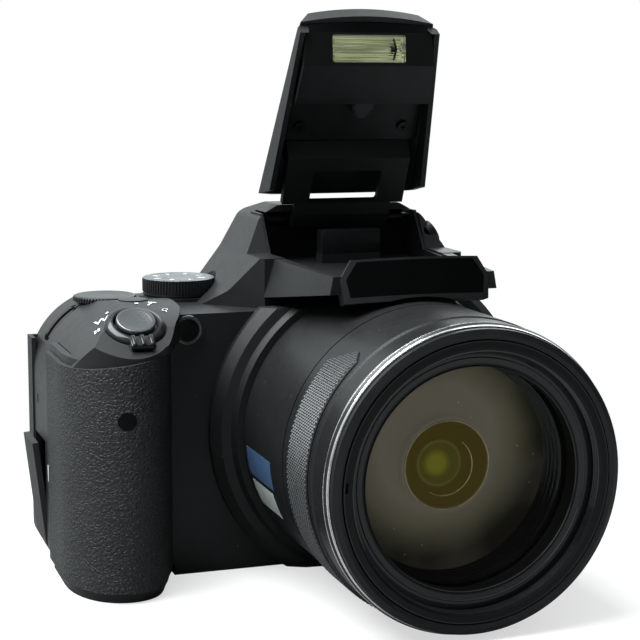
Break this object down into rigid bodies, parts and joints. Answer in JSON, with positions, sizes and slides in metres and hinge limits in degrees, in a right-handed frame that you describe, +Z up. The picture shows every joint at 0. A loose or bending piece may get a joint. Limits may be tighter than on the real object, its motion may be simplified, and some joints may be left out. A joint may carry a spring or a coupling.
{
  "type": "bridge camera",
  "caption": "Bridge camera with a long zoom lens, leather-grained grip, raised pop-up flash, side-hinged monitor and eyepiece.",
  "frame": {"origin": "mouth of the tripod socket in the base, straight below the lens axis", "axes": "+Z up, -Y the way the lens points, +X to the right as seen from the front, away from the grip"},
  "size_m": [0.1431, 0.1374, 0.1599],
  "materials": {
    "casing_black": "satin",
    "barrel_black": "satin",
    "inner_black": "matte",
    "trim_black": "gloss with two bright steps",
    "gloss_black": "gloss",
    "grip_leather": "fine leather grain",
    "knurl_rubber": "diamond knurl",
    "soft_rubber": "matte",
    "lens_glass": "coated",
    "dark_glass": "dark gloss",
    "clear_window": "clear",
    "lamp_red": "dark tinted",
    "reflector": "warm mirror",
    "steel": "plated",
    "chassis_metal": "cast",
    "board": "solder mask",
    "sensor": "gloss",
    "battery_shell": "satin",
    "card_plastic": "satin",
    "dial_grey": "satin",
    "screen_glass": "gloss"
  },
  "bodies": {
    "body": {"front_cover": "casing_black", "rear_cover": "casing_black", "base_cover": "casing_black", "top_cover": "casing_black", "grip_rubber": "grip_leather", "thumb_rubber": "grip_leather", "eyecup": "soft_rubber", "barrel_collar": "casing_black", "lens_barrel": "barrel_black", "barrel_grip_band": "knurl_rubber", "flash_well": "inner_black", "name_plate": "gloss_black", "flash_pin": "steel", "flash_springs": "steel", "case_screws": "steel", "tripod_bush": "steel", "strap_lugs": "steel", "chassis": "chassis_metal", "main_board": "board", "image_sensor": "sensor", "battery": "battery_shell", "memory_card": "card_plastic", "flash_capacitor": "battery_shell", "zoom_motor": "steel", "viewfinder_block": "inner_black", "eyepiece_glass": "lens_glass", "assist_lamp_window": "lamp_red", "infrared_window": "dark_glass", "connector_block": "inner_black"},
    "flash_head": {"flash_lid": "casing_black", "flash_panel": "gloss_black", "flash_window": "clear_window", "flash_reflector": "reflector", "flash_bracket": "inner_black", "flash_screws": "steel"},
    "drive_ring": {"zoom_drive_ring": "inner_black"},
    "rear_stage": {"zoom_barrel_rear": "barrel_black", "barrel_trim_ring": "trim_black"},
    "front_stage": {"zoom_barrel_front": "inner_black", "front_element": "lens_glass", "second_element": "dark_glass"},
    "side_key": {"side_zoom_key": "casing_black"},
    "mode_dial": {"mode_dial": "dial_grey"},
    "command_dial": {"command_dial": "dial_grey"},
    "shutter": {"shutter_button": "dial_grey"},
    "zoom_lever": {"zoom_lever": "dial_grey"},
    "power": {"power_button": "dial_grey"},
    "flash_release": {"flash_button": "casing_black"},
    "menu_key": {"menu_button": "casing_black"},
    "delete_key": {"delete_button": "casing_black"},
    "playback_key": {"playback_button": "casing_black"},
    "display_key": {"display_button": "casing_black"},
    "record_key": {"record_button": "casing_black"},
    "ok_key": {"ok_button": "dial_grey"},
    "selector": {"selector_ring": "dial_grey"},
    "monitor": {"monitor_case": "casing_black", "monitor_screen": "screen_glass", "monitor_hinge": "inner_black"},
    "battery_door": {"battery_door": "casing_black"},
    "connector_cover": {"connector_cover": "soft_rubber"}
  },
  "joints": [
    {"name": "flash_hinge", "type": "hinge", "parent": "body", "child": "flash_head", "pos_m": [0, 0.0026, 0.0982], "axis": [1, 0, 0], "range_deg": [0, 68.6], "stiffness_Nm_per_rad": 0.02, "springref_deg": -17.19},
    {"name": "zoom_slide", "type": "slide", "parent": "body", "child": "rear_stage", "axis": [0, -1, 0], "range_m": [0, 0.046]},
    {"name": "front_slide", "type": "slide", "parent": "rear_stage", "child": "front_stage", "axis": [0, -1, 0], "range_m": [0, 0.046]},
    {"name": "drive_turn", "type": "hinge", "parent": "body", "child": "drive_ring", "pos_m": [0, -0.0295, 0.04108], "axis": [0, -1, 0], "range_deg": [0, 90]},
    {"name": "side_key_slide", "type": "slide", "parent": "body", "child": "side_key", "axis": [0, 0, 1], "range_m": [-0.0014, 0.0014], "stiffness_N_per_m": 200},
    {"name": "mode_dial_turn", "type": "hinge", "parent": "body", "child": "mode_dial", "pos_m": [-0.0479, 0.00684, 0.0787], "axis": [0, 0, 1], "continuous": true},
    {"name": "command_dial_turn", "type": "hinge", "parent": "body", "child": "command_dial", "pos_m": [-0.0706, 0.006, 0.076], "axis": [0, 0, 1], "continuous": true},
    {"name": "shutter_press", "type": "slide", "parent": "body", "child": "shutter", "axis": [0, 0.4848, -0.8746], "range_m": [0, 0.0012], "stiffness_N_per_m": 400},
    {"name": "zoom_lever_turn", "type": "hinge", "parent": "body", "child": "zoom_lever", "pos_m": [-0.0715, -0.038, 0.0739], "axis": [0, -0.4848, 0.8746], "range_deg": [-20, 20], "stiffness_Nm_per_rad": 0.01},
    {"name": "power_press", "type": "slide", "parent": "body", "child": "power", "axis": [0, 0, -1], "range_m": [0, 0.0004], "stiffness_N_per_m": 500},
    {"name": "flash_release_press", "type": "slide", "parent": "body", "child": "flash_release", "axis": [-0.866, 0, -0.5], "range_m": [0, 0.0007], "stiffness_N_per_m": 500},
    {"name": "menu_press", "type": "slide", "parent": "body", "child": "menu_key", "axis": [0, -1, 0], "range_m": [0, 0.0006], "stiffness_N_per_m": 500},
    {"name": "delete_press", "type": "slide", "parent": "body", "child": "delete_key", "axis": [0, -1, 0], "range_m": [0, 0.0006], "stiffness_N_per_m": 500},
    {"name": "playback_press", "type": "slide", "parent": "body", "child": "playback_key", "axis": [0, -1, 0], "range_m": [0, 0.0006], "stiffness_N_per_m": 500},
    {"name": "display_press", "type": "slide", "parent": "body", "child": "display_key", "axis": [0, -1, 0], "range_m": [0, 0.0006], "stiffness_N_per_m": 500},
    {"name": "record_press", "type": "slide", "parent": "body", "child": "record_key", "axis": [0, -1, 0], "range_m": [0, 0.0006], "stiffness_N_per_m": 500},
    {"name": "ok_press", "type": "slide", "parent": "body", "child": "ok_key", "axis": [0, -1, 0], "range_m": [0, 0.0006], "stiffness_N_per_m": 500},
    {"name": "selector_turn", "type": "hinge", "parent": "body", "child": "selector", "pos_m": [-0.0675, 0.0187, 0.032], "axis": [0, 1, 0], "continuous": true},
    {"name": "monitor_swing", "type": "hinge", "parent": "body", "child": "monitor", "pos_m": [0.0355, 0.0198, 0.041], "axis": [0, 0, -1], "range_deg": [0, 175]},
    {"name": "battery_door_hinge", "type": "hinge", "parent": "body", "child": "battery_door", "pos_m": [-0.0682, -0.026, 0.001], "axis": [0, -1, 0], "range_deg": [0, 95]},
    {"name": "connector_cover_hinge", "type": "hinge", "parent": "body", "child": "connector_cover", "pos_m": [-0.0894, 0.0025, 0.0041], "axis": [0, -1, 0], "range_deg": [-6.5, 90]}
  ],
  "couplings": [
    {"joint": "front_slide", "follows": "zoom_slide", "ratio": 1},
    {"joint": "drive_turn", "follows": "zoom_slide", "rad_per_m": 34.1}
  ]
}
